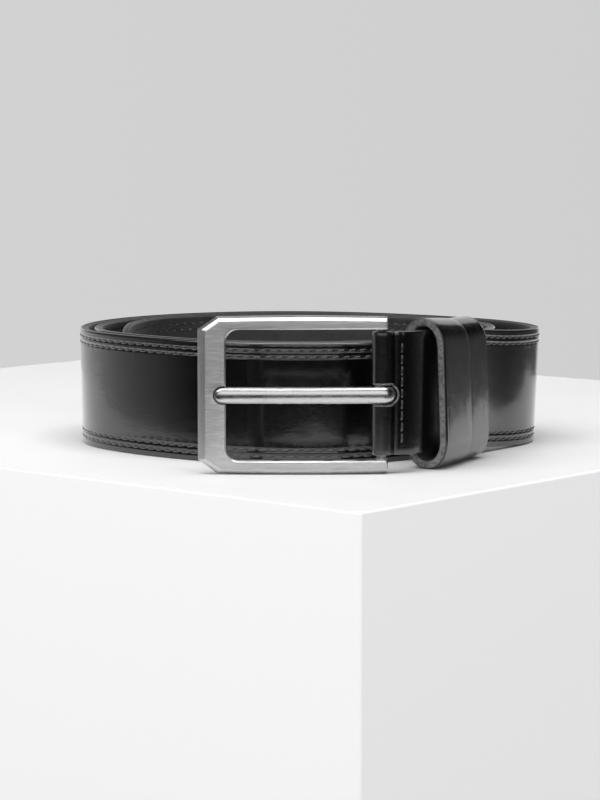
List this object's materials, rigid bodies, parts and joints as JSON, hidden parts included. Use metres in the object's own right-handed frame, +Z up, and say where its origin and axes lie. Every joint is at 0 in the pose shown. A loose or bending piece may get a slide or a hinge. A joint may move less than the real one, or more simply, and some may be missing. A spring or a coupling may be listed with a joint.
{
  "type": "leather belt",
  "caption": "Black leather dress belt with a brushed pin buckle and leather keepers, coiled and standing on its lower edge.",
  "frame": {"origin": "middle of the bounding box on the surface the coil stands on", "axes": "+Z up, along the strap's width; the buckle faces -Y; +X to the right of somebody who looks at the buckle"},
  "size_m": [0.1616, 0.1644, 0.0506],
  "materials": {
    "face_leather": "black, glossy, smooth calf",
    "lining_leather": "black, matt",
    "thread": "black waxed polyester thread",
    "gunmetal": "brushed gunmetal plating with bright sloping border",
    "plain_steel": "plain satin steel"
  },
  "bodies": {
    "strap": {"strap_face": "face_leather", "strap_lining": "lining_leather", "seam_thread_outer_face": "thread", "seam_thread_inner_face": "thread", "seam_thread_outer_back": "thread", "seam_thread_inner_back": "thread", "fold_seam_thread_face": "thread", "fold_seam_thread_back": "thread", "keeper_seam_thread_face": "thread", "keeper_seam_thread_back": "thread", "keeper_fixed": "face_leather", "keeper_fixed_staple": "plain_steel"},
    "loose_keeper": {"keeper_sliding": "face_leather", "keeper_sliding_staple": "plain_steel"},
    "buckle": {"buckle_frame": "gunmetal", "buckle_bar": "plain_steel"},
    "prong": {"buckle_prong": "gunmetal"}
  },
  "joints": [
    {"name": "frame_swing", "type": "hinge", "parent": "strap", "child": "buckle", "pos_m": [0.02263, -0.07651, 0.0253], "axis": [0, 0, 1], "range_deg": [-10, 40]},
    {"name": "prong_swing", "type": "hinge", "parent": "buckle", "child": "prong", "pos_m": [0.02263, -0.07651, 0.0253], "axis": [0, 0, 1], "range_deg": [0, 60]},
    {"name": "keeper_slide", "type": "slide", "parent": "strap", "child": "loose_keeper", "axis": [0.4702, 0.8825, 0], "range_m": [0, 0.004]}
  ]
}
